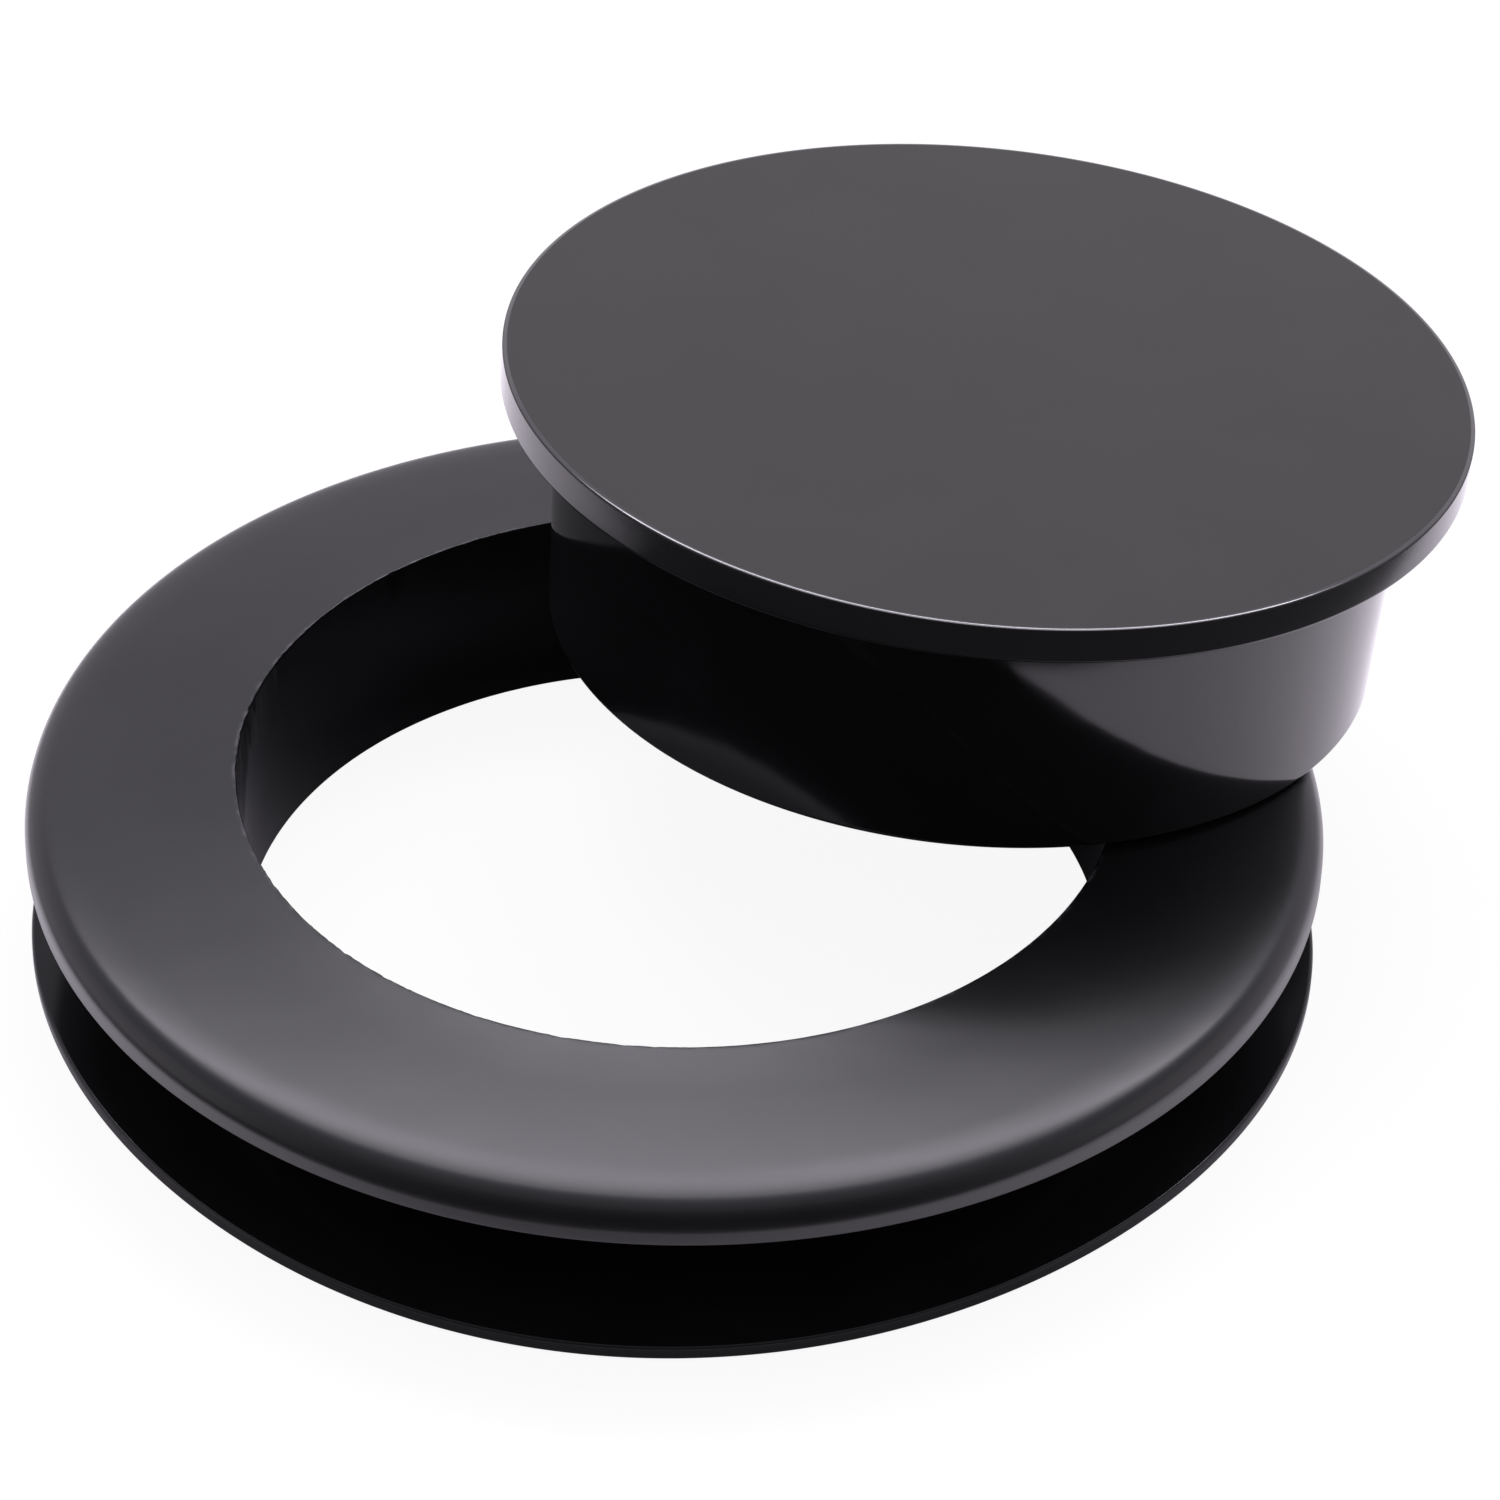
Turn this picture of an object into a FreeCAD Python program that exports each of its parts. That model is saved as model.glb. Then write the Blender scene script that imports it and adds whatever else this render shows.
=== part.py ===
import FreeCAD, Part
import math
import os

# Grommet in two loose pieces: a grooved liner ring that grips the edge of a
# panel hole, and a hollow plug cap that closes its bore. The cap is off its
# seat: it leans on the ring with its skirt across the crown, towards +X.
# Millimetres, +Z up. The origin is on the ring's axis in its base plane.

# Liner ring, an open grooved section turned about Z
RING_HEIGHT = 10.4            # base plane to the bore's top edge
BORE_RADIUS = 21.95
RIM_RADIUS = 32.5             # upper flange
RIM_UNDERSIDE = 7.27          # height of the face that lies on the panel
CROWN_DROP = 1.18             # fall of the crown from bore edge to rim, unrounded
CROWN_BULGE = 0.06            # how far the crown stands above a straight cone
BARREL_RADIUS = 25.0          # groove floor, fits a 50 mm panel hole
LIP_RADIUS = 32.05            # thin lower flange
LIP_EDGE = 0.75               # its thickness at the free edge
LIP_ROOT = 1.15               # and where it meets the barrel
SHOULDER_ROUND = 1.3
GROOVE_ROUND = 0.6
RIM_EDGE_ROUND = 0.15
LIP_EDGE_ROUND = 0.18
BORE_EDGE_ROUND = 0.12

# Plug cap, a flat disc on a tapered hollow skirt, drawn with its top at z = 0
DISC_RADIUS = 24.5
DISC_THICKNESS = 1.9
CAP_HEIGHT = 14.9             # disc top to the skirt's free edge
SKIRT_TOP_RADIUS = 21.65      # where it leaves the disc
SKIRT_FOOT_RADIUS = 21.25
SKIRT_WALL = 1.9              # at the free edge
CAVITY_DRAFT = 0.3            # how much narrower the cavity is at its ceiling
CEILING_THICKNESS = 2.5
DISC_EDGE_ROUND = 0.14
DISC_ROOT_ROUND = 0.35
FOOT_OUTER_ROUND = 0.25
FOOT_INNER_ROUND = 0.4
CAVITY_ROUND = 1.5

# Where the cap rests
CAP_OFFSET = 21.3             # disc top's centre from the ring's axis, along +X
CAP_TOP_HEIGHT = 24.68        # and above the base plane
LEAN_DEGREES = 4.7            # tilt about Y that lets the skirt's foot down outside

MATCH = 1e-4                  # closeness that identifies one edge
AXIS_POINT = FreeCAD.Vector(0, 0, 0)
UP = FreeCAD.Vector(0, 0, 1)
TILT_AXIS = FreeCAD.Vector(0, 1, 0)


def at(radius, height):
    """A point of a half section, in the XZ plane."""
    return FreeCAD.Vector(radius, 0, height)


def chain(points):
    """Straight edges through points, in order and not closed."""
    return [Part.makeLine(a, b) for a, b in zip(points, points[1:])]


def turned(edges):
    """The solid swept by a closed half section about Z."""
    face = Part.Face(Part.Wire(edges))
    return face.revolve(AXIS_POINT, UP, 360)


def circle_edge(solid, radius, height):
    """The solid's circular edge of this radius at this height."""
    for edge in solid.Edges:
        curve = edge.Curve
        if not isinstance(curve, Part.Circle):
            continue
        right_size = abs(curve.Radius - radius) < MATCH
        right_place = abs(curve.Center.z - height) < MATCH
        on_axis = math.hypot(curve.Center.x, curve.Center.y) < MATCH
        if right_size and right_place and on_axis:
            return edge
    raise ValueError("no circular edge of radius %g at height %g" % (radius, height))


def rounded(solid, corners):
    """The solid with each (radius, height) corner rounded by its own amount."""
    for radius, height, amount in corners:
        edge = circle_edge(solid, radius, height)
        solid = solid.makeFillet(amount, [edge]).Solids[0]
    return solid


def crown_arc(inner, outer):
    """The crown's shallow arc from its bore edge to its rim corner."""
    middle = (inner + outer) * 0.5
    across = outer - inner
    outward = FreeCAD.Vector(-across.z, 0, across.x).normalize()
    return Part.Arc(inner, middle + outward * CROWN_BULGE, outer).toShape()


def liner_ring():
    """Barrel with a crowned flange above the groove and a thin lip below it."""
    rim_corner_height = RING_HEIGHT - CROWN_DROP
    bore_top = at(BORE_RADIUS, RING_HEIGHT)
    rim_corner = at(RIM_RADIUS, rim_corner_height)
    below_crown = [
        rim_corner,
        at(RIM_RADIUS, RIM_UNDERSIDE),
        at(BARREL_RADIUS, RIM_UNDERSIDE),
        at(BARREL_RADIUS, LIP_ROOT),
        at(LIP_RADIUS, LIP_EDGE),
        at(LIP_RADIUS, 0),
        at(BORE_RADIUS, 0),
        bore_top,
    ]
    solid = turned([crown_arc(bore_top, rim_corner)] + chain(below_crown))
    return rounded(solid, [
        (RIM_RADIUS, rim_corner_height, SHOULDER_ROUND),
        (RIM_RADIUS, RIM_UNDERSIDE, RIM_EDGE_ROUND),
        (BARREL_RADIUS, RIM_UNDERSIDE, GROOVE_ROUND),
        (BARREL_RADIUS, LIP_ROOT, GROOVE_ROUND),
        (LIP_RADIUS, LIP_EDGE, LIP_EDGE_ROUND),
        (LIP_RADIUS, 0, LIP_EDGE_ROUND),
        (BORE_RADIUS, 0, BORE_EDGE_ROUND),
        (BORE_RADIUS, RING_HEIGHT, BORE_EDGE_ROUND),
    ])


def upright_cap():
    """The cap standing straight, its disc's top centred on the origin."""
    cavity_foot_radius = SKIRT_FOOT_RADIUS - SKIRT_WALL
    cavity_top_radius = cavity_foot_radius - CAVITY_DRAFT
    half_section = [
        at(0, 0),
        at(DISC_RADIUS, 0),
        at(DISC_RADIUS, -DISC_THICKNESS),
        at(SKIRT_TOP_RADIUS, -DISC_THICKNESS),
        at(SKIRT_FOOT_RADIUS, -CAP_HEIGHT),
        at(cavity_foot_radius, -CAP_HEIGHT),
        at(cavity_top_radius, -CEILING_THICKNESS),
        at(0, -CEILING_THICKNESS),
        at(0, 0),
    ]
    return rounded(turned(chain(half_section)), [
        (DISC_RADIUS, 0, DISC_EDGE_ROUND),
        (DISC_RADIUS, -DISC_THICKNESS, DISC_EDGE_ROUND),
        (SKIRT_TOP_RADIUS, -DISC_THICKNESS, DISC_ROOT_ROUND),
        (SKIRT_FOOT_RADIUS, -CAP_HEIGHT, FOOT_OUTER_ROUND),
        (cavity_foot_radius, -CAP_HEIGHT, FOOT_INNER_ROUND),
        (cavity_top_radius, -CEILING_THICKNESS, CAVITY_ROUND),
    ])


def plug_cap():
    """The cap leaning where it rests on the ring's crown."""
    solid = upright_cap()
    solid.rotate(AXIS_POINT, TILT_AXIS, LEAN_DEGREES)
    solid.translate(FreeCAD.Vector(CAP_OFFSET, 0, CAP_TOP_HEIGHT))
    return solid


PIECES = {
    "liner_ring": liner_ring,
    "plug_cap": plug_cap,
}

os.makedirs("parts", exist_ok=True)
for name, make in PIECES.items():
    make().exportStep("parts/%s.step" % name)
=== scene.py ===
import math

import bpy
from mathutils import Euler, Matrix, Vector, noise


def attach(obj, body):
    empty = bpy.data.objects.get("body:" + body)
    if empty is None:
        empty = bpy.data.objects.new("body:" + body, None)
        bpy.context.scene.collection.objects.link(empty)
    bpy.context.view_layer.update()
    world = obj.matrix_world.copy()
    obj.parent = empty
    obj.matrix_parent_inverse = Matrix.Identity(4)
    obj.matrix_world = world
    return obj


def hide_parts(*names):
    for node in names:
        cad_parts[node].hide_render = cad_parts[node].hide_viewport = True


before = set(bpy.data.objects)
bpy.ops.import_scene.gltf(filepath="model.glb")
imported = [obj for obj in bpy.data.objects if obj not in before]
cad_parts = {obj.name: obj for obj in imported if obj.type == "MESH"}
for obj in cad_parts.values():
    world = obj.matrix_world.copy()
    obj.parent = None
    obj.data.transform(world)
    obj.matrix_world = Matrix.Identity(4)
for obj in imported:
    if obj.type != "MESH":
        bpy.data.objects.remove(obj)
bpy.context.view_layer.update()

# Lengths below are millimetres unless they say metres; MM turns them into metres.
MM = 0.001

# Liner ring, a closed section turned about Z
RING_HEIGHT = 10.4
BORE_RADIUS = 21.95
BORE_DRAFT = 0.2              # how much narrower the bore is at its base
RIM_RADIUS = 32.5
RIM_UNDERSIDE = 7.27
BARREL_RADIUS = 25.0
LIP_RADIUS = 32.05
LIP_EDGE = 0.75
LIP_ROOT = 1.15
SHOULDER_ROUND = 1.3
SHOULDER_CENTRE = 8.06        # height of the shoulder round's centre
GROOVE_ROUND = 0.6
RIM_EDGE_ROUND = 0.15
LIP_EDGE_ROUND = 0.18
BORE_EDGE_ROUND = 0.12

# The crown's fall in degrees at a few radii; the last is where the shoulder round takes over
CROWN_SLOPES = (
    (21.95, 6.35), (25.2, 5.1), (28.4, 5.7), (29.8, 6.2), (30.8, 9.2), (31.47, 14.5), (32.018, 39))
CROWN_STEP = 0.3

# Plug cap, drawn upright with its disc's top at z = 0
DISC_RADIUS = 24.5
DISC_THICKNESS = 1.9
CAP_HEIGHT = 14.9
SKIRT_TOP_RADIUS = 21.65
SKIRT_FOOT_RADIUS = 21.25
SKIRT_WALL = 1.9
CAVITY_DRAFT = 0.3
CEILING_THICKNESS = 2.5
DISC_EDGE_ROUND = 0.14
DISC_ROOT_ROUND = 0.35
FOOT_OUTER_ROUND = 0.25
FOOT_INNER_ROUND = 0.4
CAVITY_ROUND = 1.5

# The disc's top edge: a shallow polished bevel that ends in a tighter round
BEVEL_WIDTH = 0.23            # bevel and round together
BEVEL_ROUND = 0.506
BEVEL_SLOPES = (4, 24)        # degrees, start and end
BEVEL_END_ROUND = 0.1

# Where the cap leans on the ring
CAP_OFFSET = 21.3
CAP_TOP_HEIGHT = 24.68
LEAN_DEGREES = 4.7

# Mesh density
TURN_STEPS = 680
ARC_STEP_DEGREES = 9
FINE_ARC = 1.5                # how many times finer the shoulder and bevel arcs are
RUN_STEP = 2.4
SUPPORTED_RUN = 0.55          # straight runs longer than this get a point near each end
EDGE_SUPPORT = 0.05

# The thin lip isn't quite round: (lobes, height in mm, phase in degrees)
LIP_WAVES = ((2, 0.17, 73.9), (3, 0.193, 42.2), (4, 0.221, -156.8))
LIP_SPREAD = 0.12             # its mean extra reach, which is twice this at two opposite sides
LIP_SPREAD_ANGLE = 150        # degrees, towards one of those sides

# Neither is the soft cap
CAP_OVAL = 0.0076
CAP_OVAL_ANGLE = -44.5

# Wear on the bore's top edge, and paler specks painted along it as glints
WEAR_REACH = 0.28
WEAR_CELLS = 70               # noise cells per radian around the edge
WEAR_JAG = 0.035
WEAR_NICK = 0.16
WEAR_NICK_LEVEL = 0.25        # noise above this bites out a nick
WEAR_NICK_SCALE = 0.45        # cells for the nicks, as a share of WEAR_CELLS
WEAR_NICK_SHIFT = Vector((0, 0, 7))
WEAR_SIDE = 135               # degrees, where the edge is worn most
WEAR_LEAST = 0.15             # share of the wear left on the other side
GLINT_BAND = (0.05, 0.3)       # distances outside the bore between which the painted glint specks fade out

# Rubber: the darkest and the palest linear colour of its clouds
CROWN_TONES = ((0.0042, 0.004, 0.0045), (0.0062, 0.006, 0.0067))
DISC_TONES = ((0.0108, 0.0094, 0.0078), (0.0136, 0.0119, 0.0100))
GLOSS_TONES = ((0.0068, 0.0067, 0.007), (0.009, 0.0088, 0.0093))
SIDE_TONES = ((0.0055, 0.0055, 0.0058), (0.0075, 0.0075, 0.0078))
GROOVE_TONES = ((0.0072, 0.0072, 0.0075), (0.0092, 0.0092, 0.0096))
# The bevel's paler tones are a painted highlight that lightens the edge's fine bright line
BEVEL_HIGHLIGHT_TONES = ((0.045, 0.043, 0.045), (0.06, 0.057, 0.06))
# A painted glint: the paler colour of specks along the bore's top edge
GLINT_TONE = (0.09, 0.086, 0.094)
UNEVEN_GLOSS = 0.025          # share by which roughness varies

# Noise in the rubber: (cells per metre, detail), and the part of its range that is used
CLOUDS = (140, 6)
GRAIN = (2600, 2)
WAVES = (260, 1)
SPECKS = (1500, 3)
CLOUD_RANGE = (0.3, 0.7)
SPECK_RANGE = (0.42, 0.72)

# Studio: angles in degrees, the lamps' and floor's lengths in metres, the pad's in
# millimetres; the camera looks towards BACK_AZIMUTH
BACK_AZIMUTH = 45.5
BACKDROP_TOP = 26
BACKDROP_FADE = 8
BACKDROP_SIDES = (-0.6, 0.01)
BACKDROP_LIGHT = (0.89, 0.845, 0.93)
ROOM_BACK = (0.58, 0.563, 0.64)
ROOM_FRONT = (0.11, 0.107, 0.12)
ROOM_TURN = (-1.0, 0.1)
BELOW_LIGHT = (0.13, 0.127, 0.14)
BELOW_FADE = (-0.3, -0.1)
SEEN_BACKGROUND = (1.0, 1.0, 1.0)
LAMP_COLOUR = (1.0, 0.965, 1.05)
LAMP_AZIMUTH = 40.5
LAMP_DISTANCE = 0.9
FLOOR_HALF = 1.5
FLOOR_COLOUR = (0.11, 0.11, 0.11)
FLOOR_GLOW = 0.92
PAD_CENTRE = (16.3, 9.2)
PAD_RADIUS = 60
PAD_CORNERS = 96
PAD_LEVEL = -0.1
PAD_COLOUR = (0.93, 0.9, 0.93)
PAD_GLOW = 0.56
PAD_GLOW_COLOUR = (1.0, 0.94, 1.03)
PAD_GLOW_RADII = (31, 40)
PAD_PAINTED_SHADOW = (0.26, 0.26, 0.275)   # its colour inside the bore: a painted shadow, darker where the cap and ring shade the floor
PAD_PAINTED_SHADOW_RADII = (19, 24)
STUDIO_ROUGHNESS = 0.9
STUDIO_SPECULAR = 0.1

# Camera: metres and radians, its lens and sensor in millimetres
CAMERA_PLACE = (-0.15475, -0.16287, 0.18066)
CAMERA_TARGET = (0.00261, -0.00256, 0.01137)
CAMERA_ROLL = 0.03
LENS = 135.26
SENSOR_WIDTH = 36
CLIP_START = 0.01
CLIP_END = 20


def interpolated(table, x):
    """The value at x along a table of (x, value) pairs, straight between them."""
    for (x0, y0), (x1, y1) in zip(table, table[1:]):
        if x <= x1:
            return y0 + (y1 - y0) * (x - x0) / (x1 - x0)
    return table[-1][1]


def smooth(t):
    """Eases from 0 to 1 as t does, flat outside."""
    t = min(1.0, max(0.0, t))
    return t * t * (3 - 2 * t)


def arc_corners(centre_r, centre_z, radius, slopes):
    """Outline corners, not rounded further, on an outward arc between two slopes in degrees."""
    start, end = slopes
    parts = max(2, round((end - start) / ARC_STEP_DEGREES * FINE_ARC))
    corners = []
    for k in range(parts + 1):
        slope = math.radians(start + (end - start) * k / parts)
        corners.append((centre_r + radius * math.sin(slope), centre_z + radius * math.cos(slope), 0))
    return corners


def rounded_outline(corners):
    """A half section with an arc at each (radius, height, round) corner."""
    outline = []
    count = len(corners)
    for i, (r, z, amount) in enumerate(corners):
        here = Vector((r, z))
        if not amount:
            outline.append(here)
            continue
        to_last = (Vector(corners[i - 1][:2]) - here).normalized()
        to_next = (Vector(corners[(i + 1) % count][:2]) - here).normalized()
        half = to_last.angle(to_next) / 2
        centre = here + (to_last + to_next).normalized() * (amount / math.sin(half))
        start = here + to_last * (amount / math.tan(half)) - centre
        turn = start.angle_signed(here + to_next * (amount / math.tan(half)) - centre)
        steps = max(2, round(abs(math.degrees(turn)) / ARC_STEP_DEGREES))
        for k in range(steps + 1):
            arm = start.copy()
            arm.rotate(Matrix.Rotation(-turn * k / steps, 2))
            outline.append(centre + arm)
    return outline


def with_supports(outline, closed):
    """The outline with long runs split, and a point close to each of their ends."""
    result = []
    ends = outline[1:] + (outline[:1] if closed else [])
    for a, b in zip(outline, ends):
        result.append(a)
        length = (b - a).length
        if length < SUPPORTED_RUN:
            continue
        parts = max(1, math.ceil((length - 2 * EDGE_SUPPORT) / RUN_STEP))
        for k in range(parts + 1):
            along = EDGE_SUPPORT + (length - 2 * EDGE_SUPPORT) * k / parts
            result.append(a.lerp(b, along / length))
    if not closed:
        result.append(outline[-1])
    return result


def turned_mesh(name, outline, closed, zone, warp):
    """A mesh swept by a half section about Z; warp moves (r, z) by angle."""
    verts = []
    starts = []
    on_axis = [r < EDGE_SUPPORT / 2 for r, z in outline]
    for (r, z), single in zip(outline, on_axis):
        starts.append(len(verts))
        if single:
            verts.append(Vector((0, 0, z)) * MM)
            continue
        for k in range(TURN_STEPS):
            angle = math.tau * k / TURN_STEPS
            wr, wz = warp(r, z, angle)
            verts.append(Vector((wr * math.cos(angle), wr * math.sin(angle), wz)) * MM)
    faces = []
    zones = []
    count = len(outline)
    for i in range(count if closed else count - 1):
        j = (i + 1) % count
        part = zone(*((outline[i] + outline[j]) / 2))
        for k in range(TURN_STEPS):
            after = (k + 1) % TURN_STEPS
            if on_axis[i]:
                face = (starts[i], starts[j] + after, starts[j] + k)
            elif on_axis[j]:
                face = (starts[i] + k, starts[i] + after, starts[j])
            else:
                face = (starts[i] + k, starts[i] + after, starts[j] + after, starts[j] + k)
            faces.append(face)
            zones.append(part)
    mesh = bpy.data.meshes.new(name)
    mesh.from_pydata(verts, [], faces)
    mesh.polygons.foreach_set("material_index", zones)
    mesh.polygons.foreach_set("use_smooth", [True] * len(faces))
    mesh.update()
    mesh.flip_normals()
    return mesh


def crown_corners():
    """The crown walked outwards down its slowly changing slope, bore edge left out."""
    inner, outer = CROWN_SLOPES[0][0], CROWN_SLOPES[-1][0]
    steps = round((outer - inner) / CROWN_STEP)
    corners = []
    z = RING_HEIGHT
    for k in range(steps):
        r = inner + (outer - inner) * (k + 1) / steps
        middle = inner + (outer - inner) * (k + 0.5) / steps
        z -= math.tan(math.radians(interpolated(CROWN_SLOPES, middle))) * (outer - inner) / steps
        corners.append((r, z, 0))
    return corners


def ring_outline():
    shoulder = arc_corners(
        RIM_RADIUS - SHOULDER_ROUND, SHOULDER_CENTRE, SHOULDER_ROUND, (CROWN_SLOPES[-1][1], 90))
    corners = [(BORE_RADIUS, RING_HEIGHT, BORE_EDGE_ROUND)]
    corners += crown_corners()
    corners += shoulder[1:]
    corners += [
        (RIM_RADIUS, RIM_UNDERSIDE, RIM_EDGE_ROUND),
        (BARREL_RADIUS, RIM_UNDERSIDE, GROOVE_ROUND),
        (BARREL_RADIUS, LIP_ROOT, GROOVE_ROUND),
        (LIP_RADIUS, LIP_EDGE, LIP_EDGE_ROUND),
        (LIP_RADIUS, 0, LIP_EDGE_ROUND),
        (BORE_RADIUS - BORE_DRAFT, 0, BORE_EDGE_ROUND),
    ]
    return with_supports(rounded_outline(corners), closed=True)


def ring_zone(r, z):
    """0 for the satin crown and rim, 1 for the glossy bore, 2 for the duller groove and lip."""
    if r < BORE_RADIUS + BORE_EDGE_ROUND / 2:
        return 1
    return 0 if z > RIM_UNDERSIDE else 2


def lip_push(r, angle):
    """How far the free lip reaches past its round shape here."""
    push = LIP_SPREAD * (1 + math.cos(2 * (angle - math.radians(LIP_SPREAD_ANGLE))))
    for lobes, height, phase in LIP_WAVES:
        push += height * math.cos(lobes * angle + math.radians(phase))
    return push * smooth((r - BARREL_RADIUS) / (LIP_RADIUS - BARREL_RADIUS))


def edge_wear(r, z, angle):
    """How far the bore's worn top edge has gone outwards here, jagged with a few nicks."""
    nearness = smooth(1 - math.hypot(r - BORE_RADIUS, z - RING_HEIGHT) / WEAR_REACH)
    around = Vector((math.cos(angle), math.sin(angle), 0)) * WEAR_CELLS
    jag = noise.noise(around)
    nick = max(0, noise.noise(around * WEAR_NICK_SCALE + WEAR_NICK_SHIFT) - WEAR_NICK_LEVEL)
    facing = smooth(0.5 + math.cos(angle - math.radians(WEAR_SIDE)))
    worn = WEAR_LEAST + (1 - WEAR_LEAST) * facing
    return nearness * worn * (WEAR_JAG * jag + WEAR_NICK * nick)


def ring_warp(r, z, angle):
    if z <= LIP_ROOT:
        return r + lip_push(r, angle), z
    return r + edge_wear(r, z, angle), z


def cap_outline():
    cavity_foot = SKIRT_FOOT_RADIUS - SKIRT_WALL
    cavity_top = cavity_foot - CAVITY_DRAFT
    flat_end = DISC_RADIUS - BEVEL_WIDTH
    first, last = (math.radians(slope) for slope in BEVEL_SLOPES)
    bevel_r = flat_end - BEVEL_ROUND * math.sin(first)
    bevel_z = -BEVEL_ROUND * math.cos(first)
    inset = BEVEL_ROUND - BEVEL_END_ROUND
    end_r = bevel_r + inset * math.sin(last)
    end_z = bevel_z + inset * math.cos(last)
    corners = [(0, 0, 0)]
    corners += arc_corners(bevel_r, bevel_z, BEVEL_ROUND, BEVEL_SLOPES)
    corners += arc_corners(end_r, end_z, BEVEL_END_ROUND, (BEVEL_SLOPES[1], 90))[1:]
    corners += [
        (DISC_RADIUS, -DISC_THICKNESS, DISC_EDGE_ROUND),
        (SKIRT_TOP_RADIUS, -DISC_THICKNESS, DISC_ROOT_ROUND),
        (SKIRT_FOOT_RADIUS, -CAP_HEIGHT, FOOT_OUTER_ROUND),
        (cavity_foot, -CAP_HEIGHT, FOOT_INNER_ROUND),
        (cavity_top, -CEILING_THICKNESS, CAVITY_ROUND),
        (0, -CEILING_THICKNESS, 0),
    ]
    return with_supports(rounded_outline(corners), closed=False)


def cap_zone(r, z):
    """0 for the satin disc top, 1 for the glossy skirt and inside, 2 bevel, 3 disc side."""
    if z > -DISC_THICKNESS / 2 and r < DISC_RADIUS - BEVEL_WIDTH:
        return 0
    if z > -DISC_THICKNESS / 2 and r < DISC_RADIUS - BEVEL_END_ROUND / 2:
        return 2
    if z > -DISC_THICKNESS and r > SKIRT_TOP_RADIUS:
        return 3
    return 1


def cap_warp(r, z, angle):
    """The soft cap a little wider one way than the other."""
    return r * (1 + CAP_OVAL * math.cos(2 * (angle - math.radians(CAP_OVAL_ANGLE)))), z


def shown(mesh, materials, body, node):
    """Puts a mesh in the scene in place of its CAD node."""
    for material in materials:
        mesh.materials.append(material)
    piece = bpy.data.objects.new(mesh.name, mesh)
    bpy.context.scene.collection.objects.link(piece)
    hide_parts(node)
    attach(piece, body)


def make_ring(materials):
    mesh = turned_mesh("ring_moulding", ring_outline(), True, ring_zone, ring_warp)
    shown(mesh, materials, "ring", "liner_ring")


def make_cap(materials):
    mesh = turned_mesh("cap_moulding", cap_outline(), False, cap_zone, cap_warp)
    lean = Matrix.Rotation(math.radians(LEAN_DEGREES), 4, "Y")
    place = Matrix.Translation(Vector((CAP_OFFSET, 0, CAP_TOP_HEIGHT)) * MM)
    mesh.transform(place @ lean)
    shown(mesh, materials, "cap", "plug_cap")


class Tree:
    """A node tree, with short ways to add the few nodes used here."""

    def __init__(self, tree):
        self.nodes = tree.nodes
        self.links = tree.links

    def mapped(self, value, low, high, to_low=0.0, to_high=1.0):
        """The value eased from one range to another."""
        node = self.nodes.new("ShaderNodeMapRange")
        node.interpolation_type = "SMOOTHSTEP"
        for socket, number in zip(
                ("From Min", "From Max", "To Min", "To Max"), (low, high, to_low, to_high)):
            node.inputs[socket].default_value = number
        self.links.new(value, node.inputs["Value"])
        return node.outputs["Result"]

    def product(self, a, b):
        node = self.nodes.new("ShaderNodeMath")
        node.operation = "MULTIPLY"
        self.links.new(a, node.inputs[0])
        self.links.new(b, node.inputs[1])
        return node.outputs["Value"]

    def mixed(self, factor, a, b):
        """A colour between a and b, each a socket or an (r, g, b)."""
        node = self.nodes.new("ShaderNodeMix")
        node.data_type = "RGBA"
        self.links.new(factor, node.inputs["Factor"])
        for socket, colour in zip((node.inputs["A"], node.inputs["B"]), (a, b)):
            if isinstance(colour, tuple):
                socket.default_value = (*colour, 1)
            else:
                self.links.new(colour, socket)
        return node.outputs["Result"]


class Shading(Tree):
    """A new material's tree, with its shader and its place on the object."""

    def __init__(self, name):
        self.material = bpy.data.materials.new(name)
        self.material.use_nodes = True
        super().__init__(self.material.node_tree)
        self.shader = self.nodes["Principled BSDF"]
        self.place = self.nodes.new("ShaderNodeTexCoord").outputs["Object"]

    def noise(self, scale, detail):
        texture = self.nodes.new("ShaderNodeTexNoise")
        texture.inputs["Scale"].default_value = scale
        texture.inputs["Detail"].default_value = detail
        self.links.new(self.place, texture.inputs["Vector"])
        return texture.outputs["Fac"]

    def radius(self):
        """Distance from the ring's axis in metres."""
        flat = self.nodes.new("ShaderNodeVectorMath")
        flat.operation = "MULTIPLY"
        flat.inputs[1].default_value = (1, 1, 0)
        self.links.new(self.place, flat.inputs[0])
        length = self.nodes.new("ShaderNodeVectorMath")
        length.operation = "LENGTH"
        self.links.new(flat.outputs["Vector"], length.inputs[0])
        return length.outputs["Value"]

    def bumps(self, *layers):
        """Stacks (height, depth in mm) layers into the surface's normal."""
        normal = None
        for height, depth in layers:
            bump = self.nodes.new("ShaderNodeBump")
            bump.inputs["Strength"].default_value = 1.0
            bump.inputs["Distance"].default_value = depth * MM
            self.links.new(height, bump.inputs["Height"])
            if normal:
                self.links.new(normal, bump.inputs["Normal"])
            normal = bump.outputs["Normal"]
        self.links.new(normal, self.shader.inputs["Normal"])


def rubber(name, tones, rough, grain_depth, wave_depth):
    """Moulded black rubber: cloudy tone, uneven gloss, fine grain and slow waves."""
    shading = Shading(name)
    cloud = shading.noise(*CLOUDS)
    tone = shading.mixed(shading.mapped(cloud, *CLOUD_RANGE), *tones)
    least, most = rough * (1 - UNEVEN_GLOSS), rough * (1 + UNEVEN_GLOSS)
    gloss = shading.mapped(cloud, *CLOUD_RANGE, least, most)
    shading.links.new(tone, shading.shader.inputs["Base Color"])
    shading.links.new(gloss, shading.shader.inputs["Roughness"])
    shading.bumps((shading.noise(*GRAIN), grain_depth), (shading.noise(*WAVES), wave_depth))
    return shading


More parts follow.
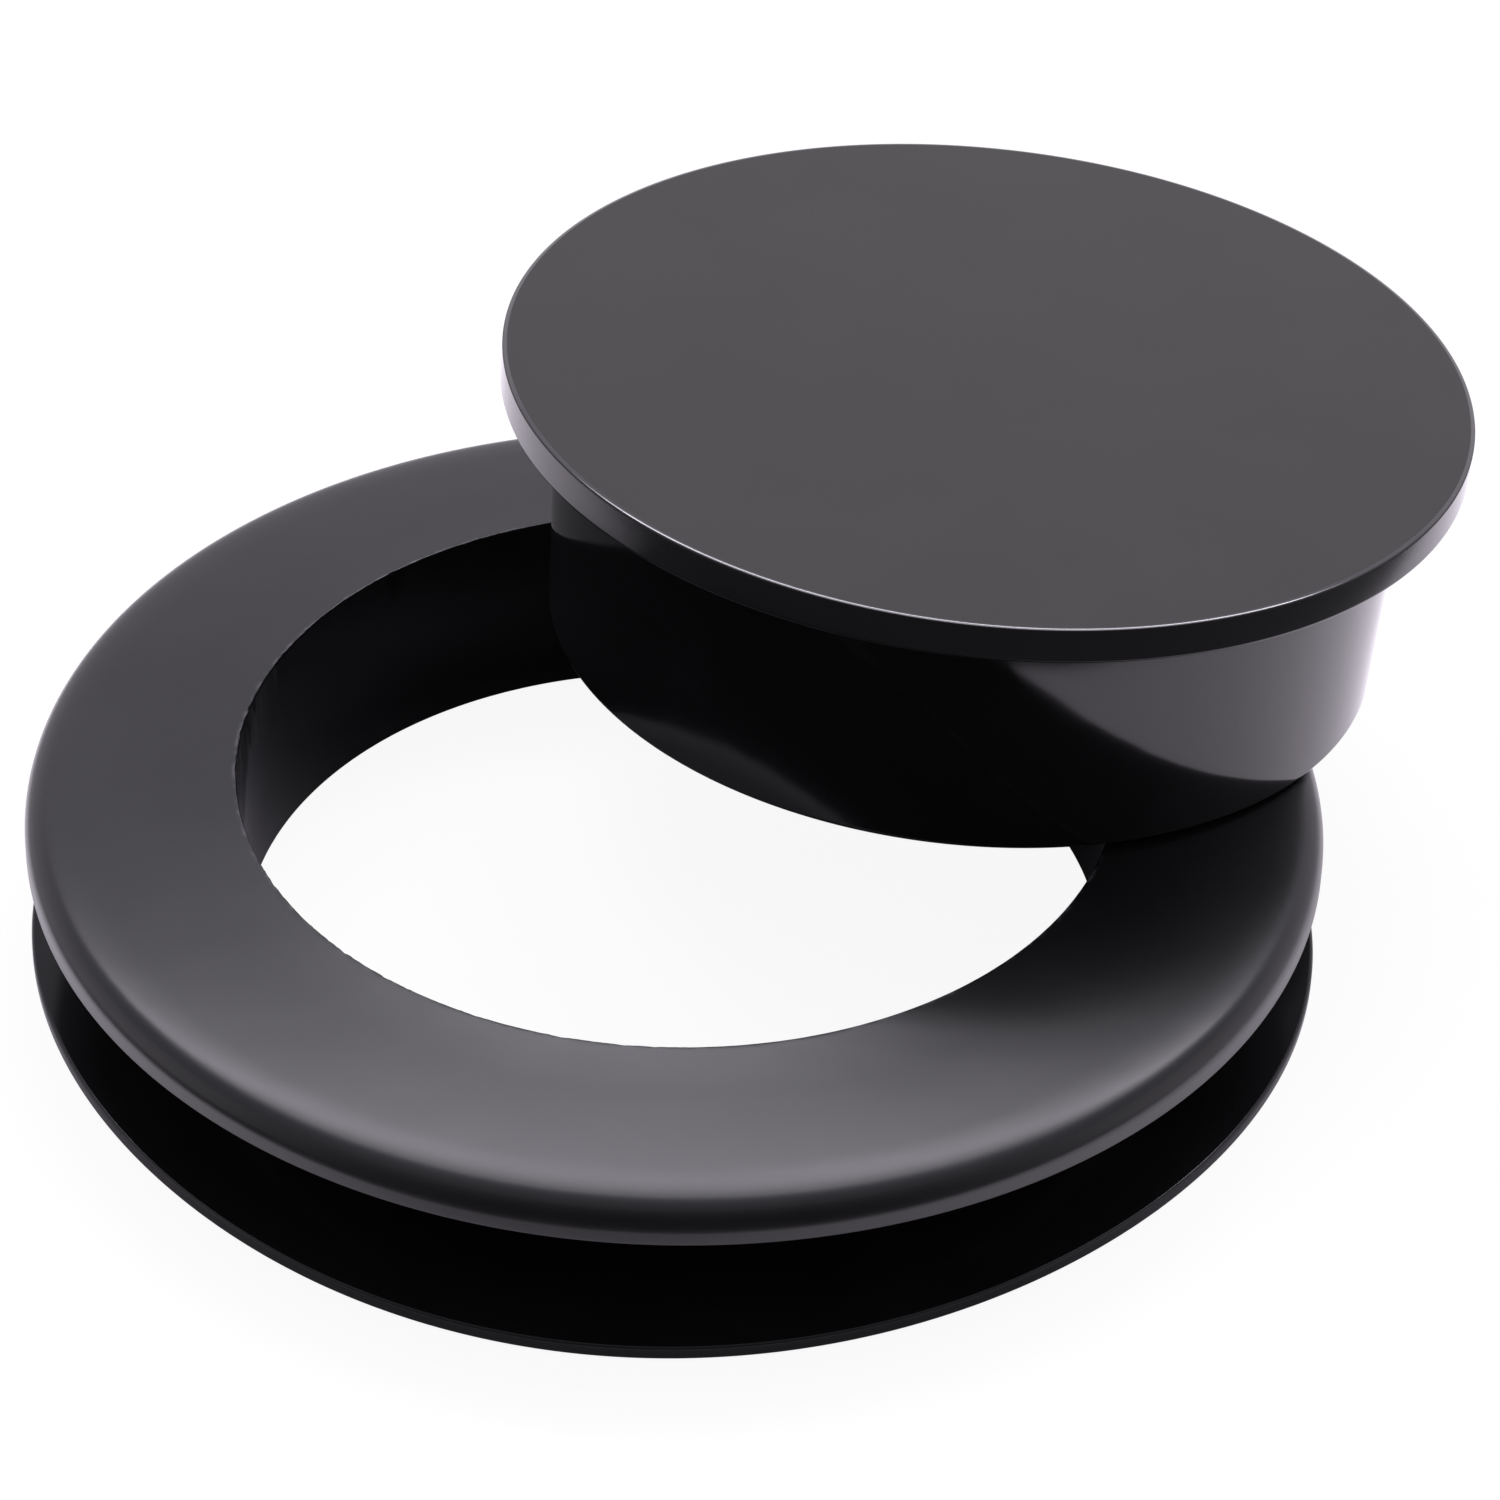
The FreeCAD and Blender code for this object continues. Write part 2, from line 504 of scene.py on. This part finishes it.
def crown_rubber():
    """Satin rubber, with paler specks painted along the bore's worn top edge as glints."""
    shading = rubber("crown_rubber", CROWN_TONES, rough=0.29, grain_depth=0.0022, wave_depth=0.014)
    # Painted glints: paler specks in a band by the bore's top edge; worn below holds that band
    first, last = ((BORE_RADIUS + reach) * MM for reach in GLINT_BAND)
    worn = shading.mapped(shading.radius(), last, first)
    specks = shading.mapped(shading.noise(*SPECKS), *SPECK_RANGE)
    tone = shading.shader.inputs["Base Color"].links[0].from_socket
    paler = shading.mixed(shading.product(worn, specks), tone, GLINT_TONE)
    shading.links.new(paler, shading.shader.inputs["Base Color"])
    return shading.material


def disc_rubber():
    """The even satin of the disc's top."""
    return rubber("disc_rubber", DISC_TONES, rough=0.33, grain_depth=0.0008, wave_depth=0.0).material


def gloss_rubber():
    """Skirt, inside of the cap and bore, smooth from the mould."""
    return rubber("gloss_rubber", GLOSS_TONES, rough=0.08, grain_depth=0.0002, wave_depth=0.01).material


def side_rubber():
    """The disc's side, in gloss between the disc's top and the skirt."""
    return rubber("side_rubber", SIDE_TONES, rough=0.15, grain_depth=0.0004, wave_depth=0.004).material


def bevel_highlight_rubber():
    """The disc's polished top edge catches the lamp, with paler tones painted on as a highlight so it
    shows as a fine bright line.
    """
    shading = rubber("bevel_highlight_rubber", BEVEL_HIGHLIGHT_TONES, rough=0.07, grain_depth=0.0, wave_depth=0.0)
    shading.shader.inputs["Specular IOR Level"].default_value = 1.0
    return shading.material


def groove_rubber():
    """The groove and lip, duller than the rest."""
    shading = rubber("groove_rubber", GROOVE_TONES, rough=0.15, grain_depth=0.0004, wave_depth=0.01)
    shading.shader.inputs["Specular IOR Level"].default_value = 0.3
    return shading.material


def flat_sheet(name, corners, colour):
    """A matt sheet of the studio, not part of the object, and its shading."""
    mesh = bpy.data.meshes.new(name)
    mesh.from_pydata(corners, [], [tuple(range(len(corners)))])
    sheet = bpy.data.objects.new(name, mesh)
    bpy.context.scene.collection.objects.link(sheet)
    shading = Shading(name)
    shading.shader.inputs["Base Color"].default_value = (*colour, 1)
    shading.shader.inputs["Roughness"].default_value = STUDIO_ROUGHNESS
    shading.shader.inputs["Specular IOR Level"].default_value = STUDIO_SPECULAR
    shading.shader.inputs["Emission Color"].default_value = (1, 1, 1, 1)
    mesh.materials.append(shading.material)
    return sheet, shading


def make_floor():
    """The plain pale floor, which only the camera sees."""
    half = FLOOR_HALF
    corners = [(-half, -half, 0), (half, -half, 0), (half, half, 0), (-half, half, 0)]
    floor, shading = flat_sheet("studio_floor", corners, FLOOR_COLOUR)
    shading.shader.inputs["Emission Strength"].default_value = FLOOR_GLOW
    floor.visible_glossy = False
    floor.visible_diffuse = False
    floor.visible_shadow = False


def make_pad():
    """The round white pad that the rubber mirrors and the camera doesn't see, with a painted shadow
    inside the bore.
    """
    corners = []
    for k in range(PAD_CORNERS):
        angle = math.tau * k / PAD_CORNERS
        x = PAD_CENTRE[0] + PAD_RADIUS * math.cos(angle)
        y = PAD_CENTRE[1] + PAD_RADIUS * math.sin(angle)
        corners.append(Vector((x, y, PAD_LEVEL)) * MM)
    pad, shading = flat_sheet("studio_pad", corners, PAD_COLOUR)
    near, far = PAD_GLOW_RADII
    glow = shading.mapped(shading.radius(), near * MM, far * MM, 0.0, PAD_GLOW)
    shading.links.new(glow, shading.shader.inputs["Emission Strength"])
    shading.shader.inputs["Emission Color"].default_value = (*PAD_GLOW_COLOUR, 1)
    # Painted shadow: the pad darkens inside the bore
    inner, outer = PAD_PAINTED_SHADOW_RADII
    unshadowed = shading.mapped(shading.radius(), inner * MM, outer * MM)
    shading.links.new(shading.mixed(unshadowed, PAD_PAINTED_SHADOW, PAD_COLOUR), shading.shader.inputs["Base Color"])
    pad.visible_camera = False


def along(tree, direction):
    """How far the world's view points along a direction, from -1 to 1."""
    node = tree.nodes.new("ShaderNodeVectorMath")
    node.operation = "DOT_PRODUCT"
    node.inputs[1].default_value = direction
    tree.links.new(tree.nodes.new("ShaderNodeTexCoord").outputs["Generated"], node.inputs[0])
    return node.outputs["Value"]


def make_world():
    """A pale backdrop low behind the object in a dimmer room; plain pale where seen."""
    world = bpy.data.worlds.new("studio")
    bpy.context.scene.world = world
    world.use_nodes = True
    tree = Tree(world.node_tree)
    azimuth = math.radians(BACK_AZIMUTH)
    back = along(tree, (math.cos(azimuth), math.sin(azimuth), 0))
    up = along(tree, (0, 0, 1))
    room = tree.mixed(tree.mapped(back, *ROOM_TURN), ROOM_FRONT, ROOM_BACK)
    top = math.sin(math.radians(BACKDROP_TOP))
    gone = math.sin(math.radians(BACKDROP_TOP + BACKDROP_FADE))
    on_backdrop = tree.product(tree.mapped(up, gone, top), tree.mapped(back, *BACKDROP_SIDES))
    above = tree.mixed(on_backdrop, room, BACKDROP_LIGHT)
    everywhere = tree.mixed(tree.mapped(up, *BELOW_FADE), BELOW_LIGHT, above)
    lighting = tree.nodes["Background"]
    tree.links.new(everywhere, lighting.inputs["Color"])
    seen = tree.nodes.new("ShaderNodeBackground")
    seen.inputs["Color"].default_value = (*SEEN_BACKGROUND, 1)
    path = tree.nodes.new("ShaderNodeLightPath")
    pick = tree.nodes.new("ShaderNodeMixShader")
    tree.links.new(path.outputs["Is Camera Ray"], pick.inputs["Fac"])
    tree.links.new(lighting.outputs["Background"], pick.inputs[1])
    tree.links.new(seen.outputs["Background"], pick.inputs[2])
    tree.links.new(pick.outputs["Shader"], tree.nodes["World Output"].inputs["Surface"])


def soft_box(name, elevation, width, height, radiance):
    """A rectangular lamp facing the object, seen from it at this elevation."""
    data = bpy.data.lights.new(name, "AREA")
    data.shape = "RECTANGLE"
    data.size = width
    data.size_y = height
    data.energy = radiance * math.pi * width * height
    data.color = LAMP_COLOUR
    lamp = bpy.data.objects.new(name, data)
    a, e = math.radians(LAMP_AZIMUTH), math.radians(elevation)
    way = Vector((math.cos(a) * math.cos(e), math.sin(a) * math.cos(e), math.sin(e)))
    lamp.location = way * LAMP_DISTANCE
    lamp.rotation_euler = way.to_track_quat("Z", "Y").to_euler()
    lamp.visible_camera = False
    bpy.context.scene.collection.objects.link(lamp)


def make_camera():
    data = bpy.data.cameras.new("camera")
    data.lens = LENS
    data.sensor_width = SENSOR_WIDTH
    data.clip_start = CLIP_START
    data.clip_end = CLIP_END
    camera = bpy.data.objects.new("camera", data)
    camera.location = CAMERA_PLACE
    aim = (Vector(CAMERA_TARGET) - camera.location).to_track_quat("-Z", "Y")
    roll = Euler((0, 0, CAMERA_ROLL)).to_quaternion()
    camera.rotation_mode = "QUATERNION"
    camera.rotation_quaternion = aim @ roll
    bpy.context.scene.collection.objects.link(camera)
    bpy.context.scene.camera = camera


make_camera()
make_world()
make_floor()
make_pad()
soft_box("back_softbox", elevation=65.6, width=1.14, height=0.43, radiance=2.35)
soft_box("back_strip", elevation=59.0, width=1.06, height=0.07, radiance=10.5)
bpy.context.scene.view_settings.view_transform = "Standard"

# Materials in the order that ring_zone and cap_zone number them
gloss = gloss_rubber()
make_ring([crown_rubber(), gloss, groove_rubber()])
make_cap([disc_rubber(), gloss, bevel_highlight_rubber(), side_rubber()])
